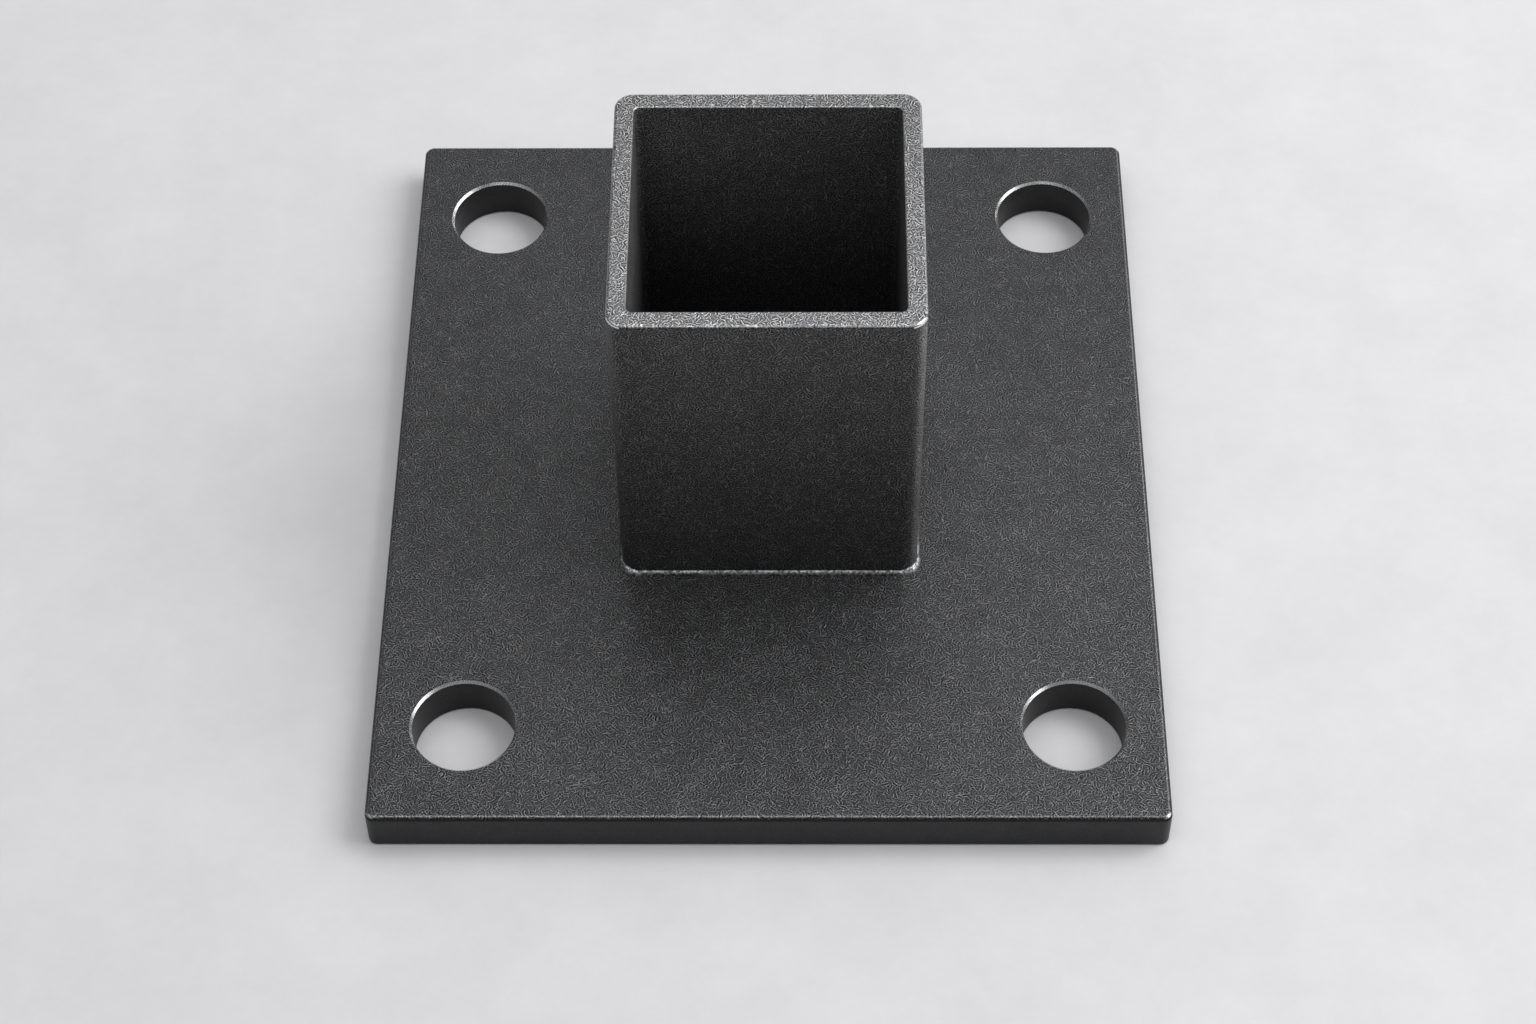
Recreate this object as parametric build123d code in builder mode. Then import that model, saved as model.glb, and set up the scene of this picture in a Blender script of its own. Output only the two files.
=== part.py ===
"""Flanged post: a short square steel tube welded upright on a flat base plate with four bolt holes.

Millimetres, +Z up. The origin is the centre of the plate's underside, the post's axis is Z, and the
longer sides of the plate run along Y.
"""

import os

from build123d import *

# Base plate
plate_width = 130.0
plate_depth = 148.0
plate_thickness = 8.0
plate_corner_radius = 1.5
plate_top_edge_radius = 0.9
plate_bottom_edge_radius = 0.5

# Bolt holes, with their centres set in from the plate's edges
hole_diameter = 17.0
hole_inset_x = 15.0
hole_inset_y = 18.0
hole_chamfer = 0.4

# Square tube
tube_width = 50.0
tube_wall = 3.2
tube_outer_corner_radius = 3.0
tube_inner_corner_radius = 1.0
tube_height = 64.0
rim_outer_edge_radius = 0.5
rim_inner_edge_radius = 0.3

# Fillet weld round the tube's foot, its face crowned a little outwards
weld_leg = 0.6
weld_crown = 0.1

# Places that follow from the sizes above
hole_spacing_x = plate_width - 2 * hole_inset_x
hole_spacing_y = plate_depth - 2 * hole_inset_y
tube_bore = tube_width - 2 * tube_wall
tube_side = tube_width / 2
plate_top = Plane.XY.offset(plate_thickness)


# The flange: cut plate with every outer edge eased
with BuildPart() as base_plate:
    with BuildSketch():
        RectangleRounded(plate_width, plate_depth, plate_corner_radius)
    extrude(amount=plate_thickness)
    fillet(base_plate.faces().sort_by(Axis.Z)[-1].edges(), radius=plate_top_edge_radius)
    fillet(base_plate.faces().sort_by(Axis.Z)[0].edges(), radius=plate_bottom_edge_radius)

    # Four drilled holes, chamfered at both ends
    with Locations(plate_top):
        with GridLocations(hole_spacing_x, hole_spacing_y, 2, 2):
            Hole(radius=hole_diameter / 2)
    hole_walls = base_plate.faces(Select.LAST).filter_by(GeomType.CYLINDER)
    chamfer(hole_walls.edges().filter_by(GeomType.CIRCLE), length=hole_chamfer)

base_plate.part.label = "base_plate"


# The post: square hollow section, its lower end cut square and seated on the plate
with BuildPart() as post_tube:
    with BuildSketch(plate_top):
        RectangleRounded(tube_width, tube_width, tube_outer_corner_radius)
        RectangleRounded(tube_bore, tube_bore, tube_inner_corner_radius, mode=Mode.SUBTRACT)
    extrude(amount=tube_height)

    # The upper cut end is eased on both sides of the wall
    fillet(post_tube.faces().sort_by(Axis.Z)[-1].outer_wire().edges(), radius=rim_outer_edge_radius)
    fillet(post_tube.faces().sort_by(Axis.Z)[-1].inner_wires().edges(), radius=rim_inner_edge_radius)

post_tube.part.label = "post_tube"


# The weld: one fillet run carried right round the outside of the tube's foot
with BuildPart() as weld_bead:
    with BuildLine(plate_top) as weld_root:
        FilletPolyline(
            (tube_side, -tube_side),
            (tube_side, tube_side),
            (-tube_side, tube_side),
            (-tube_side, -tube_side),
            radius=tube_outer_corner_radius,
            close=True,
        )

    # Its section is square at the root, with one leg up the tube and one out along the plate
    along_run = weld_root.line % 0
    out_from_tube = along_run.cross(Vector(0, 0, 1))
    with BuildSketch(Plane(weld_root.line @ 0, x_dir=out_from_tube, z_dir=-along_run)):
        with BuildLine():
            Polyline((weld_leg, 0), (0, 0), (0, weld_leg))
            SagittaArc((0, weld_leg), (weld_leg, 0), weld_crown)
        make_face()
    sweep(path=weld_root.line)

weld_bead.part.label = "weld_bead"


os.makedirs("parts", exist_ok=True)
export_step(base_plate.part, "parts/base_plate.step")
export_step(post_tube.part, "parts/post_tube.step")
export_step(weld_bead.part, "parts/weld_bead.step")
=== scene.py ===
"""The looks of the flanged post: the finish of every surface, the weld, the floor, the lights and the camera.

Metres, +Z up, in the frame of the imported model: the plate's underside is at z = 0 and the post's axis is Z.
Sizes in a finish are in millimetres, because each finish is laid out in object coordinates times 1000.
"""

from math import cos, pi, radians, sin, sqrt

import bmesh
import bpy
from mathutils import Matrix, Vector, noise


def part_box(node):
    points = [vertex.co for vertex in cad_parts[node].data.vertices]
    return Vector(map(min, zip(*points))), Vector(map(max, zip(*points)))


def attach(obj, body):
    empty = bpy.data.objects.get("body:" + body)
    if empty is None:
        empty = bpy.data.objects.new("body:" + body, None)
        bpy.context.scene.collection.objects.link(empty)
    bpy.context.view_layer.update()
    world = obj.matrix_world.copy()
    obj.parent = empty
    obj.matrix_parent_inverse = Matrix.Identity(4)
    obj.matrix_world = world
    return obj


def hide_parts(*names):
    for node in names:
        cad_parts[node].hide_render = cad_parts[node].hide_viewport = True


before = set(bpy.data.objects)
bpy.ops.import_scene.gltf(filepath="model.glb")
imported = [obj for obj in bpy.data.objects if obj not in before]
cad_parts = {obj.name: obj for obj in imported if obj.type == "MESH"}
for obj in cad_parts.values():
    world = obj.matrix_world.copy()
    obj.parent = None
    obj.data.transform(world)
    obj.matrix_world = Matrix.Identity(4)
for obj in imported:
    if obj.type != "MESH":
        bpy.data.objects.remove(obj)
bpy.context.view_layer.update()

# Millimetres in a metre
MM = 1000.0

# The camera, above and in front of the post, turned and rolled a little
CAMERA_TILT = radians(52.835)
CAMERA_TURN = radians(0.884)
CAMERA_ROLL = radians(-0.733)
CAMERA_DISTANCE = 0.57873
CAMERA_LIFT = -0.00488
CAMERA_SIDE = -0.00052
FOCAL_LENGTH = 77.11
SENSOR_WIDTH = 36.0
CLIP_START = 0.01

# How far the lamps stand from the post's foot
LAMP_DISTANCE = 1.3

# The world's strength overhead and at the horizon, and the upward part of a direction that counts as overhead
WORLD_TOP = 0.28
WORLD_HORIZON = 0.02
WORLD_OVERHEAD = 0.9

# The floor: half its side in metres, its clouds' size, contrast and least gain, and how dull it is
FLOOR_REACH = 4.0
FLOOR_CLOUD_SIZE = 28.0
FLOOR_CLOUD_CONTRAST = 0.24
FLOOR_CLOUD_LEAST = 0.88
FLOOR_ROUGHNESS = 0.85
FLOOR_GLOSS = 0.15

# Linear greys of the floor and of the steel, each with a faint blue
FLOOR_GREY = (0.815, 0.813, 0.831)
PLATE_GREY = (0.0765, 0.0777, 0.0811)
TUBE_GREY = (0.0795, 0.0799, 0.0809)
# The inside's grey is about twice the outside's: painted light on the bore near the rim
INSIDE_GREY = (0.163, 0.165, 0.168)
CUT_GREY = (0.226, 0.229, 0.235)
WORN_GREY = (0.235, 0.238, 0.243)
RIM_EDGE_GREY = (0.42, 0.425, 0.434)
TIP_GREY = (0.80, 0.805, 0.815)
WELD_GREY = (0.30, 0.304, 0.310)

# How metallic each surface is, what polish adds to it, and how strongly oiled steel mirrors untinted light
PLATE_METALLIC = 0.70
TUBE_METALLIC = 0.62
INSIDE_METALLIC = 0.40
BARE_METALLIC = 0.7
WELD_METALLIC = 0.90
POLISH_METALLIC = 0.25
GLOSS = 0.1

# The least roughness of oiled steel and of the weld, what grain adds, and what bare metal and polish take off
STEEL_ROUGHNESS = 0.31
STEEL_GRAIN_ROUGHNESS = 0.18
BARE_SMOOTHER = 0.09
POLISH_SMOOTHER = 0.05
WELD_ROUGHNESS = 0.20
WELD_GRAIN_ROUGHNESS = 0.25

# The part: the tube's wall and outer corner, and the plate's corner
TUBE_WALL = 3.2
TUBE_CORNER = 3.0
PLATE_CORNER = 1.5

# How far down the tube's cut end looks bare and over how much that fades, and the depth at which the painted
# shade inside the tube is darkest, with its share of the full grey there
CUT_DEPTH = 0.45
CUT_FADE = 0.1
SHADE_DEPTH = 50.0
SHADE_SHARE = 0.25

# How far inside the plate's outline the holes lie at least, and how far past the bore its faces are looked for
HOLES_INSIDE = 2.0
BORE_SLACK = 0.2

# Ranges of the normal's upward part: where a face turns level, where wear gives way to the level face, where
# the painted shade under a rounded edge sets in, and the two sides of the chamfers' lean
LEVEL_RANGE = (0.35, 0.85)
WEAR_END_RANGE = (0.94, 0.985)
EDGE_SHADE_START_RANGE = (0.02, 0.12)
CHAMFER_START_RANGE = (0.62, 0.68)
CHAMFER_END_RANGE = (0.74, 0.80)

# The upward part of the normal where the painted shade ends and wear starts on a rounded edge, over how much
# each of them fades, and the share of the grey that the painted shade takes off
PLATE_EDGE = 0.83
RIM_EDGE = 0.45
WEAR_FADE = 0.06
EDGE_SHADE_FADE = 0.1
EDGE_SHADE_SHARE = 0.3

# The patches of wear: their size, the noise over which they set in, and the wear between them
PATCH_SIZE = 0.4
PATCH_RANGE = (0.38, 0.60)
LEAST_WEAR = 0.6

# The polished corner tips: their reach inward, as a sum of distances along X and Y, and down, and the same for
# the fade of their polish
PLATE_TIP = (0.85, 0.38)
RIM_TIP = (0.66, 0.60)
TIP_FADE = (0.12, 0.10)

# The painted highlight on the tube's right-hand upright corners: where it starts and is full, from its side
# along Y and along X, and what it adds to the grey
RIGHT_HIGHLIGHT_ALONG = (5.0, 2.5)
RIGHT_HIGHLIGHT_ACROSS = (1.6, 0.5)
RIGHT_HIGHLIGHT_GAIN = 1.1

# The steel's clouds: their size, contrast and least gain, and the painted-shade gain of the plate's upright
# faces
CLOUD_SIZE = 4.5
CLOUD_CONTRAST = 0.6
CLOUD_LEAST = 0.7
UPRIGHT_SHADE_GAIN = 0.50

# The grain's size and its contrast on oiled and on bare steel
GRAIN_SIZE = 0.16
GRAIN_CONTRAST = 1.6
BARE_GRAIN_CONTRAST = 0.6

# The warm patches: their size, the noise over which they set in, and what they multiply the colour by
WARM_SIZE = 0.9
WARM_RANGE = (0.45, 0.70)
WARM_TINT = (1.03, 1.0, 0.95)

# What scuffs and specks add to the gain, the gain between them, and the least gain in a furrow
MARK_GAIN = 2.1
UNMARKED_GAIN = 0.90
LEAST_GAIN = 0.15

# Strength of the marks: on the plate's front and back, its upright faces' share of that, the tube's sides and
# cut end, and the share that wear takes off
FRONT_MARKS = 0.88
BACK_MARKS = 0.58
UPRIGHT_MARKS = 0.12
TUBE_MARKS = 0.90
CUT_MARKS = 1.05
WORN_AWAY = 0.6

# The height of marks and grain in the relief, and the share of it that bare metal keeps
RELIEF = 0.015
BARE_RELIEF = 0.3

# The kinds of scuffs, as cell, reach, shift and weight: long, short and very short
SCUFF_KINDS = ((1.7, 0.80, 0.0, 0.62), (1.0, 0.55, 31.0, 0.95), (0.6, 0.30, 17.0, 0.8))
# Factors that turn the parts of a cell's colour, which also give its direction, into chances of their own
CHANCE_FACTORS = (("X", 13.7), ("Y", 17.3), ("Z", 11.9))
# How far a scuff bows, the chances over which it parts in two, and how far each of the two then lies off
SCUFF_BEND = 1.4
SCUFF_DOUBLE_RANGE = (0.5, 0.7)
SCUFF_APART = 0.25
# The distances from a scuff's middle over which it fades, and the share of its reach at full strength
SCUFF_FADE_RANGE = (0.02, 0.12)
SCUFF_FULL = 0.75
# The furrow's distance from the scuff's middle, its half width and its depth
FURROW_AWAY = 0.17
FURROW_WIDTH = 0.10
FURROW_DEPTH = 0.5
# The brightness of the faintest scuff, and what chance adds to it
FAINTEST_SCUFF = 0.3
CHANCE_BRIGHTER = 0.9

# The specks: cell and size, the share of the size at full strength, the chances over which a cell has one, and
# their brightness beside the scuffs
SPECK_CELL = 1.6
SPECK_SIZE = 0.16
SPECK_FULL = 0.3
SPECK_RANGE = (0.55, 0.95)
SPECK_WEIGHT = 0.9

# The weld's finish: its grain's size, gain, least gain and relief, its patches, and the weight of its scuffs
WELD_GRAIN_SIZE = 0.32
WELD_GRAIN_GAIN = 1.1
WELD_GRAIN_LEAST = 0.45
WELD_RELIEF = 0.02
WELD_PATCH_SIZE = 0.5
WELD_PATCH_RANGE = (0.34, 0.66)
WELD_PATCH_GAINS = (0.35, 1.65)
WELD_SCUFFS = 0.5
# Where its painted shade sets in round the height of the solid weld, and to what; where its painted highlight
# at the corners sets in, as a sum of distances in from the tube's sides, and what that adds
WELD_SHADE_RANGE = (-0.10, 0.15)
WELD_SHADE_GAIN = 0.45
WELD_HIGHLIGHT_RANGE = (2.9, 2.0)
WELD_HIGHLIGHT_GAIN = 1.2

# The laid weld, in metres: steps along its run, the pitch of its ripples and how far they bow
WELD_STEP = 0.00014
RIPPLE_PITCH = 0.00062
RIPPLE_BOW = 0.0005
# Points across its face, the heights of its crown and ripples as shares of its leg, and the part of those
# heights that goes outward and upward
WELD_POINTS = 7
CROWN_HEIGHT = 0.17
RIPPLE_HEIGHT = 0.035
CROWN_LEAN = 0.7
# How much fuller it is in front and behind, and at the corners
FULLER_FRONT = 0.3
FULLER_CORNER = 0.5
# The waves of its uneven leg, as waves to a metre and share of the leg
LEG_WAVES = ((900.0, 0.10), (260.0, 0.08))


class Shader:
    """One node material, with short ways to add a node and to do sums on its sockets."""

    def __init__(self, name):
        self.material = bpy.data.materials.new(name)
        self.material.use_nodes = True
        self.tree = self.material.node_tree
        self.surface = self.tree.nodes["Principled BSDF"]
        coordinates = self.add("ShaderNodeTexCoord").outputs["Object"]
        self.place = self.vector("SCALE", coordinates, Scale=MM)
        self.normal = self.add("ShaderNodeNewGeometry").outputs["Normal"]

    def add(self, kind, inputs=None, **settings):
        """Adds a node. An input is given a socket to link or a plain value to hold."""
        made = self.tree.nodes.new(kind)
        for name, value in settings.items():
            setattr(made, name, value)
        for name, value in (inputs or {}).items():
            if isinstance(value, bpy.types.NodeSocket):
                self.tree.links.new(value, made.inputs[name])
            else:
                made.inputs[name].default_value = value
        return made

    def sum(self, operation, first, second=None, third=None):
        """One Math node on up to three sockets or numbers."""
        given = {i: v for i, v in enumerate((first, second, third)) if v is not None}
        return self.add("ShaderNodeMath", given, operation=operation).outputs[0]

    def product(self, first, *others):
        """All of these multiplied, one after another."""
        for other in others:
            first = self.sum("MULTIPLY", first, other)
        return first

    def vector(self, operation, first, second=None, **more):
        """One Vector Math node. A dot product gives a number, and the others a vector."""
        given = {0: first, **more}
        if second is not None:
            given[1] = second
        made = self.add("ShaderNodeVectorMath", given, operation=operation)
        return made.outputs["Value" if operation == "DOT_PRODUCT" else "Vector"]

    def part(self, vector, axis):
        """The X, Y or Z of a vector."""
        return self.add("ShaderNodeSeparateXYZ", {"Vector": vector}).outputs[axis]

    def upward(self):
        """The upward part of the normal: 1 on level faces and 0 on upright ones."""
        return self.part(self.normal, "Z")

    def off_axis(self):
        """The distances from the post's axis along X and along Y."""
        return [self.sum("ABSOLUTE", self.part(self.place, axis)) for axis in "XY"]

    def ramp(self, value, low, high, from_value=0.0, to_value=1.0):
        """A smooth step of value from low to high."""
        inputs = {"Value": value, "From Min": low, "From Max": high, "To Min": from_value, "To Max": to_value}
        return self.add("ShaderNodeMapRange", inputs, interpolation_type="SMOOTHSTEP").outputs["Result"]

    def fade(self, value, low, high):
        """A smooth step down: 1 below low and 0 above high."""
        return self.ramp(value, low, high, 1.0, 0.0)

    def noise(self, size, detail=2.0, roughness=0.5):
        """Noise from 0 to 1 with blotches about size millimetres across."""
        inputs = {"Vector": self.place, "Scale": 1.0 / size, "Detail": detail, "Roughness": roughness}
        return self.add("ShaderNodeTexNoise", inputs).outputs["Fac"]

    def cells(self, size, place):
        """Cells about size millimetres across, each round a scattered point."""
        inputs = {"Vector": place, "Scale": 1.0 / size, "Randomness": 1.0}
        return self.add("ShaderNodeTexVoronoi", inputs, feature="F1", voronoi_dimensions="3D")

    def blend(self, share, first, second):
        """A colour between two colours."""
        made = self.add("ShaderNodeMix", {"Factor": share}, data_type="RGBA")
        for socket, value in ((made.inputs[6], first), (made.inputs[7], second)):
            if isinstance(value, bpy.types.NodeSocket):
                self.tree.links.new(value, socket)
            else:
                socket.default_value = (*value, 1.0)
        return made.outputs[2]

    def brighten(self, colour, gain):
        """A colour times a number that varies over the surface."""
        return self.vector("SCALE", colour, Scale=gain)

    def feed(self, name, socket):
        """Links a socket to an input of the surface."""
        self.tree.links.new(socket, self.surface.inputs[name])

    def hold(self, name, value):
        """Sets an input of the surface that is the same all over."""
        self.surface.inputs[name].default_value = value

    def bump(self, height):
        """Bends the surface's normal by a height in millimetres."""
        made = self.add("ShaderNodeBump", {"Height": height, "Distance": 1.0 / MM, "Strength": 1.0})
        self.feed("Normal", made.outputs["Normal"])


def scuffs(shader, cell, reach, shift):
    """Short curved scuffs, one to a cell and some of them double, all in millimetres.

    Each follows its own direction in the surface and reaches this far each way from the middle of its cell.
    It is 1 along its middle and below 0 in the furrow on each side of it.
    """
    place = shader.vector("ADD", shader.place, (shift, shift, shift))
    cells = shader.cells(cell, place)
    chances = cells.outputs["Color"]
    away = shader.vector("SUBTRACT", place, cells.outputs["Position"])
    any_way = shader.vector("SUBTRACT", chances, (0.5, 0.5, 0.5))
    across = shader.vector("NORMALIZE", shader.vector("CROSS_PRODUCT", any_way, shader.normal))
    along = shader.vector("CROSS_PRODUCT", across, shader.normal)
    run = shader.sum("ABSOLUTE", shader.vector("DOT_PRODUCT", away, along))

    bend_chance, double_chance, bright_chance = (
        shader.sum("FRACT", shader.sum("MULTIPLY", shader.part(chances, axis), factor))
        for axis, factor in CHANCE_FACTORS
    )
    bend = shader.sum("MULTIPLY", shader.sum("SUBTRACT", bend_chance, 0.5), SCUFF_BEND / reach)
    off_straight = shader.vector("DOT_PRODUCT", away, across)
    bowed = shader.sum("MULTIPLY_ADD", shader.sum("MULTIPLY", run, run), bend, off_straight)
    apart = shader.ramp(double_chance, *SCUFF_DOUBLE_RANGE, 0.0, SCUFF_APART)
    off_line = shader.sum("ABSOLUTE", shader.sum("SUBTRACT", shader.sum("ABSOLUTE", bowed), apart))
    line = shader.fade(off_line, *SCUFF_FADE_RANGE)
    off_furrow = shader.sum("ABSOLUTE", shader.sum("SUBTRACT", off_line, FURROW_AWAY))
    furrow = shader.fade(off_furrow, 0.0, FURROW_WIDTH)
    profile = shader.sum("MULTIPLY_ADD", furrow, -FURROW_DEPTH, line)
    ends = shader.fade(run, SCUFF_FULL * reach, reach)
    brightness = shader.sum("MULTIPLY_ADD", bright_chance, CHANCE_BRIGHTER, FAINTEST_SCUFF)
    return shader.product(profile, ends, brightness)


def scuff_field(shader):
    """All kinds of scuffs together."""
    field = 0.0
    for cell, reach, shift, weight in SCUFF_KINDS:
        field = shader.sum("MULTIPLY_ADD", scuffs(shader, cell, reach, shift), weight, field)
    return field


def specks(shader):
    """A few tiny bright dots, from 0 to 1."""
    cells = shader.cells(SPECK_CELL, shader.place)
    away = shader.sum("MULTIPLY", cells.outputs["Distance"], SPECK_CELL)
    dot = shader.fade(away, SPECK_FULL * SPECK_SIZE, SPECK_SIZE)
    few = shader.ramp(shader.part(cells.outputs["Color"], "Z"), *SPECK_RANGE)
    return shader.sum("MULTIPLY", dot, few)


def clouds(shader):
    """Large soft unevenness of the steel's grey, about 1."""
    cloud = shader.noise(CLOUD_SIZE, detail=5.0, roughness=0.6)
    return shader.sum("MULTIPLY_ADD", cloud, CLOUD_CONTRAST, CLOUD_LEAST)


def levelness(shader):
    """1 on level faces and 0 on upright ones."""
    return shader.ramp(shader.upward(), *LEVEL_RANGE)


def level_gain(shader, level, upright):
    """1 on level faces and this much on upright ones."""
    return shader.sum("MULTIPLY_ADD", level, 1.0 - upright, upright)


def edge_wear(shader, edge):
    """1 on the upper part of a rounded edge, worn bright, from this upward part of the normal on."""
    upward = shader.upward()
    above = shader.ramp(upward, edge, edge + WEAR_FADE)
    not_level = shader.fade(upward, *WEAR_END_RANGE)
    patchy = shader.ramp(shader.noise(PATCH_SIZE, detail=3.0), *PATCH_RANGE, LEAST_WEAR, 1.0)
    return shader.product(above, not_level, patchy)


def edge_painted_shade(shader, edge):
    """A gain of 1, but less on the lower part of a rounded edge: painted shade."""
    upward = shader.upward()
    not_upright = shader.ramp(upward, *EDGE_SHADE_START_RANGE)
    below = shader.fade(upward, edge - EDGE_SHADE_FADE, edge)
    return shader.sum("MULTIPLY_ADD", shader.sum("MULTIPLY", not_upright, below), -EDGE_SHADE_SHARE, 1.0)


def hole_chamfers(shader, half_sides):
    """1 on the cut chamfers of the holes, which lean 45 degrees and lie inside the plate's outline."""
    across, along = (
        shader.sum("LESS_THAN", away, half_side - HOLES_INSIDE)
        for away, half_side in zip(shader.off_axis(), half_sides)
    )
    upward = shader.upward()
    steep_end = shader.ramp(upward, *CHAMFER_START_RANGE)
    level_end = shader.fade(upward, *CHAMFER_END_RANGE)
    lean = shader.sum("MULTIPLY", steep_end, level_end)
    return shader.product(across, along, lean)


def inside_tube(shader, half_bore):
    """1 on the faces that stand inside the tube's bore, 0 outside it."""
    return shader.sum("LESS_THAN", shader.sum("MAXIMUM", *shader.off_axis()), half_bore + BORE_SLACK)


def painted_right_highlight(shader, half_side):
    """A gain above 1 on the tube's right-hand upright corners: a painted highlight, on that side only."""
    across = shader.part(shader.place, "X")
    along = shader.sum("ABSOLUTE", shader.part(shader.place, "Y"))
    near_corner = shader.ramp(along, *(half_side - away for away in RIGHT_HIGHLIGHT_ALONG))
    near_right = shader.ramp(across, *(half_side - away for away in RIGHT_HIGHLIGHT_ACROSS))
    return shader.sum("MULTIPLY_ADD", shader.sum("MULTIPLY", near_corner, near_right), RIGHT_HIGHLIGHT_GAIN, 1.0)


def worn_tips(shader, half_sides, corner, top, reach):
    """1 on the outermost corner edges, which are worn brightest, for a reach inward of the corner and down."""
    inward, down = reach
    inward_fade, down_fade = TIP_FADE
    innermost = sum(half_sides) - corner * (2.0 - sqrt(2.0)) - inward
    tip = shader.ramp(shader.sum("ADD", *shader.off_axis()), innermost, innermost + inward_fade)
    high = shader.ramp(shader.part(shader.place, "Z"), top - down, top - down + down_fade)
    return shader.sum("MULTIPLY", tip, high)


def less_where_worn(shader, strength, worn):
    """The strength of the marks, less where wear has rubbed them away."""
    return shader.sum("MULTIPLY", strength, shader.sum("MULTIPLY_ADD", worn, -WORN_AWAY, 1.0))


def finish_steel(shader, colour, bright, bare, strength, metallic):
    """Lays grain, scuffs and specks over a colour. bare is 1 on bare metal, and bright where it is polished."""
    scuff = scuff_field(shader)
    grain = shader.noise(GRAIN_SIZE, detail=3.0, roughness=0.65)
    contrast = shader.ramp(bare, 0.0, 1.0, GRAIN_CONTRAST, BARE_GRAIN_CONTRAST)
    grain_gain = shader.sum("MULTIPLY_ADD", shader.sum("SUBTRACT", grain, 0.5), contrast, 1.0)
    colour = shader.brighten(colour, grain_gain)
    marks = shader.sum("MULTIPLY_ADD", specks(shader), SPECK_WEIGHT, scuff)
    gain = shader.sum("MULTIPLY_ADD", shader.sum("MULTIPLY", marks, strength), MARK_GAIN, UNMARKED_GAIN)
    colour = shader.brighten(colour, shader.sum("MAXIMUM", gain, LEAST_GAIN))
    warm = shader.ramp(shader.noise(WARM_SIZE), *WARM_RANGE)
    colour = shader.blend(warm, colour, shader.vector("MULTIPLY", colour, WARM_TINT))
    shader.feed("Base Color", shader.blend(bright, colour, TIP_GREY))

    grain_relief = shader.sum("MULTIPLY", grain, RELIEF)
    relief = shader.sum("MULTIPLY_ADD", shader.sum("MULTIPLY", scuff, strength), RELIEF, grain_relief)
    shader.bump(shader.sum("MULTIPLY", relief, shader.ramp(bare, 0.0, 1.0, 1.0, BARE_RELIEF)))

    smooth = shader.sum("MULTIPLY_ADD", bare, -BARE_SMOOTHER, STEEL_ROUGHNESS)
    smooth = shader.sum("MULTIPLY_ADD", bright, -POLISH_SMOOTHER, smooth)
    shader.feed("Roughness", shader.sum("MULTIPLY_ADD", grain, STEEL_GRAIN_ROUGHNESS, smooth))
    to_bare = shader.sum("SUBTRACT", BARE_METALLIC, metallic)
    bare_metallic = shader.sum("MULTIPLY_ADD", bare, to_bare, metallic)
    shader.feed("Metallic", shader.sum("MULTIPLY_ADD", bright, POLISH_METALLIC, bare_metallic))
    shader.hold("Specular IOR Level", GLOSS)
    return shader.material


def plate_steel(half_sides, top):
    """Oiled steel of the plate: scuffed on top, smooth with painted shade on the sides, worn edges, bright
    chamfers.
    """
    shader = Shader("plate_finish")
    level = levelness(shader)
    # The tone carries painted shade: less grey on the upright faces, and darker under the rounded edges
    tone_and_shade = shader.product(
        clouds(shader), level_gain(shader, level, UPRIGHT_SHADE_GAIN), edge_painted_shade(shader, PLATE_EDGE)
    )
    tips = worn_tips(shader, half_sides, PLATE_CORNER, top, PLATE_TIP)
    bright = shader.sum("MAXIMUM", hole_chamfers(shader, half_sides), tips)
    worn = edge_wear(shader, PLATE_EDGE)
    bare = shader.sum("MAXIMUM", worn, bright)
    colour = shader.blend(worn, shader.brighten(PLATE_GREY, tone_and_shade), WORN_GREY)
    along = shader.part(shader.place, "Y")
    most_at_front = shader.ramp(along, -half_sides[1], half_sides[1], FRONT_MARKS, BACK_MARKS)
    strength = shader.sum("MULTIPLY", level_gain(shader, level, UPRIGHT_MARKS), most_at_front)
    strength = less_where_worn(shader, strength, worn)
    return finish_steel(shader, colour, bright, bare, strength, PLATE_METALLIC)


def tube_steel(rim_height, half_bore):
    """Oiled steel of the tube: scuffed all over, with painted shade down its inside and a bare and lighter cut
    end.
    """
    shader = Shader("tube_finish")
    half_side = half_bore + TUBE_WALL
    height = shader.part(shader.place, "Z")
    within = inside_tube(shader, half_bore)
    # Painted shade under the rim's rounded edges, laid over the clouds
    tone_and_shade = shader.sum("MULTIPLY", clouds(shader), edge_painted_shade(shader, RIM_EDGE))
    # Painted shade: the inside grows darker towards the bottom of the bore
    depth = shader.ramp(height, rim_height - SHADE_DEPTH, rim_height, SHADE_SHARE, 1.0)
    inside = shader.brighten(INSIDE_GREY, depth)
    # Painted highlight: the outside's right-hand upright corners are made lighter
    outside = shader.brighten(TUBE_GREY, painted_right_highlight(shader, half_side))
    colour = shader.brighten(shader.blend(within, outside, inside), tone_and_shade)
    cut_from = rim_height - CUT_DEPTH
    cut = shader.sum("MULTIPLY", levelness(shader), shader.ramp(height, cut_from, cut_from + CUT_FADE))
    worn = edge_wear(shader, RIM_EDGE)
    colour = shader.blend(cut, colour, CUT_GREY)
    colour = shader.blend(worn, colour, RIM_EDGE_GREY)
    tips = worn_tips(shader, (half_side, half_side), TUBE_CORNER, rim_height, RIM_TIP)
    bare = shader.sum("MAXIMUM", shader.sum("MAXIMUM", worn, cut), tips)
    strength = less_where_worn(shader, shader.ramp(cut, 0.0, 1.0, TUBE_MARKS, CUT_MARKS), worn)
    metallic = shader.ramp(within, 0.0, 1.0, TUBE_METALLIC, INSIDE_METALLIC)
    return finish_steel(shader, colour, tips, bare, strength, metallic)


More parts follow.
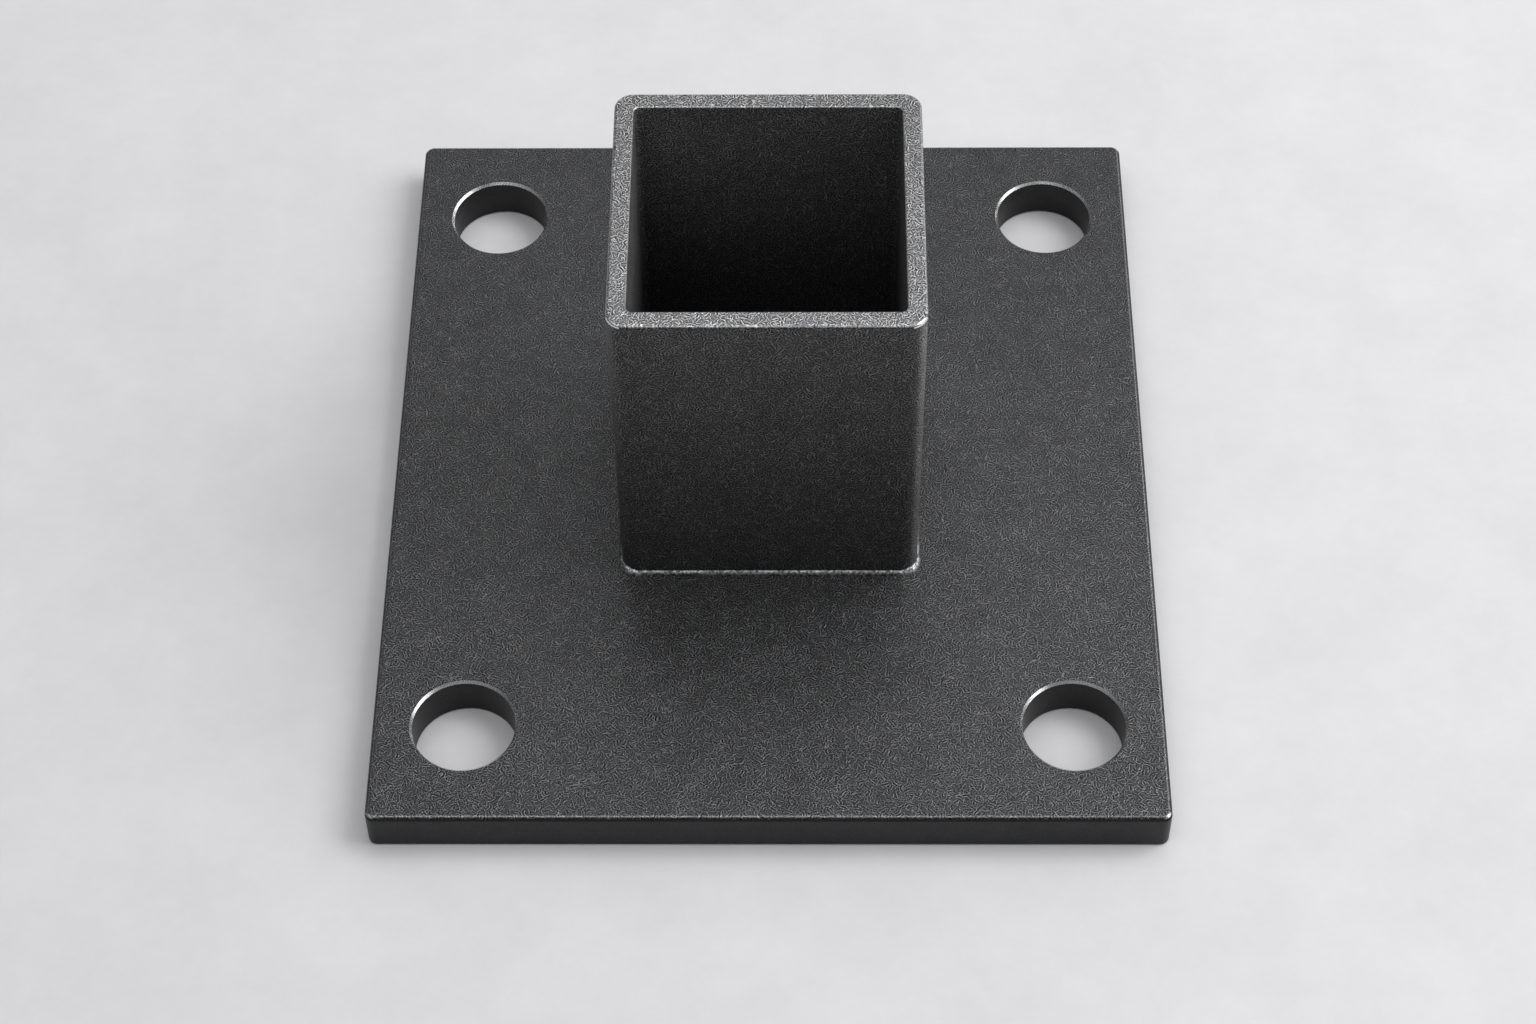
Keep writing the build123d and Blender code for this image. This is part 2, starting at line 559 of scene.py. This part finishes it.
def weld_metal(half_side):
    """Uneven weld metal, with painted shade where its top runs into the tube and a painted highlight at the
    corners.
    """
    shader = Shader("weld_steel_finish")
    solid_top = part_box("weld_bead")[1].z * MM
    grain = shader.noise(WELD_GRAIN_SIZE, detail=4.0, roughness=0.7)
    patch = shader.ramp(shader.noise(WELD_PATCH_SIZE, detail=3.0), *WELD_PATCH_RANGE, *WELD_PATCH_GAINS)
    grain_gain = shader.sum("MULTIPLY_ADD", grain, WELD_GRAIN_GAIN, WELD_GRAIN_LEAST)
    gain = shader.sum("MULTIPLY", grain_gain, patch)
    gain = shader.sum("MULTIPLY_ADD", scuff_field(shader), WELD_SCUFFS, gain)
    height = shader.part(shader.place, "Z")
    # Painted shade where the weld's top runs into the tube
    painted_crease_shade = shader.ramp(height, *(solid_top + above for above in WELD_SHADE_RANGE), 1.0, WELD_SHADE_GAIN)
    # Painted highlight at the weld's four corners
    from_axis = shader.sum("ADD", *shader.off_axis())
    near_corner = shader.ramp(from_axis, *(2 * half_side - away for away in WELD_HIGHLIGHT_RANGE))
    painted_corner_highlight = shader.sum("MULTIPLY_ADD", near_corner, WELD_HIGHLIGHT_GAIN, 1.0)
    shader.feed("Base Color", shader.brighten(WELD_GREY, shader.product(gain, painted_crease_shade, painted_corner_highlight)))
    shader.feed("Roughness", shader.sum("MULTIPLY_ADD", grain, WELD_GRAIN_ROUGHNESS, WELD_ROUGHNESS))
    shader.bump(shader.sum("MULTIPLY", grain, WELD_RELIEF))
    shader.hold("Metallic", WELD_METALLIC)
    return shader.material


def foot_path(half_side, corner, spacing):
    """Points and outward directions round a rounded square, corners as arcs."""
    straight = half_side - corner
    found = []
    for quarter in range(4):
        turn = quarter * pi / 2
        along, out = Vector((-sin(turn), cos(turn), 0)), Vector((cos(turn), sin(turn), 0))
        steps = max(1, round(2 * straight / spacing))
        for i in range(steps):
            found.append((out * half_side + along * (straight * (2 * i / steps - 1)), out))
        arc_steps = max(4, round(corner * pi / 2 / spacing))
        for i in range(arc_steps):
            angle = turn + pi / 2 * i / arc_steps
            outward = Vector((cos(angle), sin(angle), 0))
            found.append(((out + along) * straight + outward * corner, outward))
    return found


def weld_mesh(name):
    """The weld as laid metal: it follows the solid weld but is fuller, with fine ripples and an uneven leg."""
    low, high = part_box("weld_bead")
    tube_low, tube_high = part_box("post_tube")
    leg = high.z - low.z
    path = foot_path((tube_high.x - tube_low.x) / 2, TUBE_CORNER / MM, WELD_STEP)
    mesh = bmesh.new()
    rows = []
    for i, (point, outward) in enumerate(path):
        run = i * WELD_STEP
        uneven = sum(noise.noise(point * waves) * share for waves, share in LEG_WAVES)
        at_corner = (2 * abs(outward.x * outward.y)) ** 2
        fuller = leg * (1.0 + FULLER_FRONT * outward.y ** 2 + FULLER_CORNER * at_corner)
        row = []
        for k in range(WELD_POINTS):
            share = k / (WELD_POINTS - 1)
            ripple = sin(2 * pi * (run - RIPPLE_BOW * sin(pi * share)) / RIPPLE_PITCH)
            crown = (CROWN_HEIGHT + RIPPLE_HEIGHT * ripple) * sin(pi * share)
            reach = fuller * (1.0 + uneven * sin(pi * share / 2 + pi / 4))
            offset = outward * (reach * (share + crown * CROWN_LEAN))
            lift = reach * (1 - share + crown * CROWN_LEAN)
            row.append(mesh.verts.new(point + offset + Vector((0, 0, low.z + lift))))
        row.append(mesh.verts.new(point + Vector((0, 0, low.z))))
        rows.append(row)
    for row, following in zip(rows, rows[1:] + rows[:1]):
        for k in range(len(row)):
            j = (k + 1) % len(row)
            face = mesh.faces.new((row[k], row[j], following[j], following[k]))
            face.smooth = k < WELD_POINTS - 1
    bmesh.ops.recalc_face_normals(mesh, faces=mesh.faces)
    data = bpy.data.meshes.new(name)
    mesh.to_mesh(data)
    mesh.free()
    bead = bpy.data.objects.new(name, data)
    bpy.context.scene.collection.objects.link(bead)
    return bead


def dress(node, material):
    """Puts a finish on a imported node, on the object and not on its mesh."""
    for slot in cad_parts[node].material_slots:
        slot.link = "OBJECT"
        slot.material = material


def make_floor():
    """A pale level floor, larger than the view, with faint clouds."""
    data = bpy.data.meshes.new("floor")
    corners = [(x * FLOOR_REACH, y * FLOOR_REACH, 0) for x, y in ((-1, -1), (1, -1), (1, 1), (-1, 1))]
    data.from_pydata(corners, [], [(0, 1, 2, 3)])
    floor = bpy.data.objects.new("floor", data)
    bpy.context.scene.collection.objects.link(floor)
    shader = Shader("pale_floor")
    cloud = shader.noise(FLOOR_CLOUD_SIZE, detail=7.0, roughness=0.75)
    gain = shader.sum("MULTIPLY_ADD", cloud, FLOOR_CLOUD_CONTRAST, FLOOR_CLOUD_LEAST)
    shader.feed("Base Color", shader.brighten(FLOOR_GREY, gain))
    shader.hold("Roughness", FLOOR_ROUGHNESS)
    shader.hold("Specular IOR Level", FLOOR_GLOSS)
    data.materials.append(shader.material)


def make_world():
    """Soft light from overhead that falls off towards the horizon."""
    world = bpy.data.worlds.new("studio")
    world.use_nodes = True
    bpy.context.scene.world = world
    tree = world.node_tree
    direction = tree.nodes.new("ShaderNodeTexCoord").outputs["Generated"]
    split = tree.nodes.new("ShaderNodeSeparateXYZ")
    tree.links.new(direction, split.inputs[0])
    ramp = tree.nodes.new("ShaderNodeMapRange")
    ramp.interpolation_type = "SMOOTHSTEP"
    ramp.inputs["From Min"].default_value = 0.0
    ramp.inputs["From Max"].default_value = WORLD_OVERHEAD
    ramp.inputs["To Min"].default_value = WORLD_HORIZON
    ramp.inputs["To Max"].default_value = WORLD_TOP
    background = tree.nodes["Background"]
    tree.links.new(split.outputs["Z"], ramp.inputs["Value"])
    tree.links.new(ramp.outputs["Result"], background.inputs["Strength"])
    background.inputs["Color"].default_value = (1.0, 1.0, 1.0, 1.0)


def softbox(name, direction, sides, power):
    """An area light of this width and height that faces the post's foot from a direction."""
    data = bpy.data.lights.new(name, "AREA")
    data.shape = "RECTANGLE"
    data.size, data.size_y = sides
    data.energy = power
    lamp = bpy.data.objects.new(name, data)
    lamp.location = Vector(direction).normalized() * LAMP_DISTANCE
    lamp.rotation_euler = (-lamp.location).to_track_quat("-Z", "Y").to_euler()
    bpy.context.scene.collection.objects.link(lamp)


def make_camera():
    """Looks down at the post from the front, with the same framing as the photograph."""
    data = bpy.data.cameras.new("camera")
    data.sensor_width = SENSOR_WIDTH
    data.lens = FOCAL_LENGTH
    data.clip_start = CLIP_START
    camera = bpy.data.objects.new("camera", data)
    turn = Matrix.Rotation(CAMERA_TURN, 4, "Z") @ Matrix.Rotation(pi / 2 - CAMERA_TILT, 4, "X")
    place = Matrix.Translation((CAMERA_SIDE, CAMERA_LIFT, CAMERA_DISTANCE))
    camera.matrix_world = turn @ place @ Matrix.Rotation(CAMERA_ROLL, 4, "Z")
    bpy.context.scene.collection.objects.link(camera)
    bpy.context.scene.camera = camera


plate_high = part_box("base_plate")[1] * MM
tube_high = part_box("post_tube")[1] * MM
dress("base_plate", plate_steel((plate_high.x, plate_high.y), plate_high.z))
dress("post_tube", tube_steel(tube_high.z, tube_high.x - TUBE_WALL))

weld = weld_mesh("laid_weld")
weld.data.materials.append(weld_metal(tube_high.x))
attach(weld, "root")
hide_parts("weld_bead")

make_floor()
make_world()
softbox("key", (0.75, 0.08, 1.0), (0.75, 0.75), 7.3)
softbox("back", (0.07, 0.42, 1.0), (0.75, 0.75), 2.5)
softbox("front", (-0.12, -0.42, 1.0), (0.75, 0.60), 1.9)
softbox("left", (-0.45, -0.20, 1.0), (0.75, 0.75), 1.1)
softbox("side", (0.92, 0.10, 0.42), (2.1, 0.40), 4.8)
softbox("low_back", (0.15, 0.90, 0.45), (1.6, 0.40), 1.6)
make_camera()

bpy.context.scene.view_settings.view_transform = "Standard"
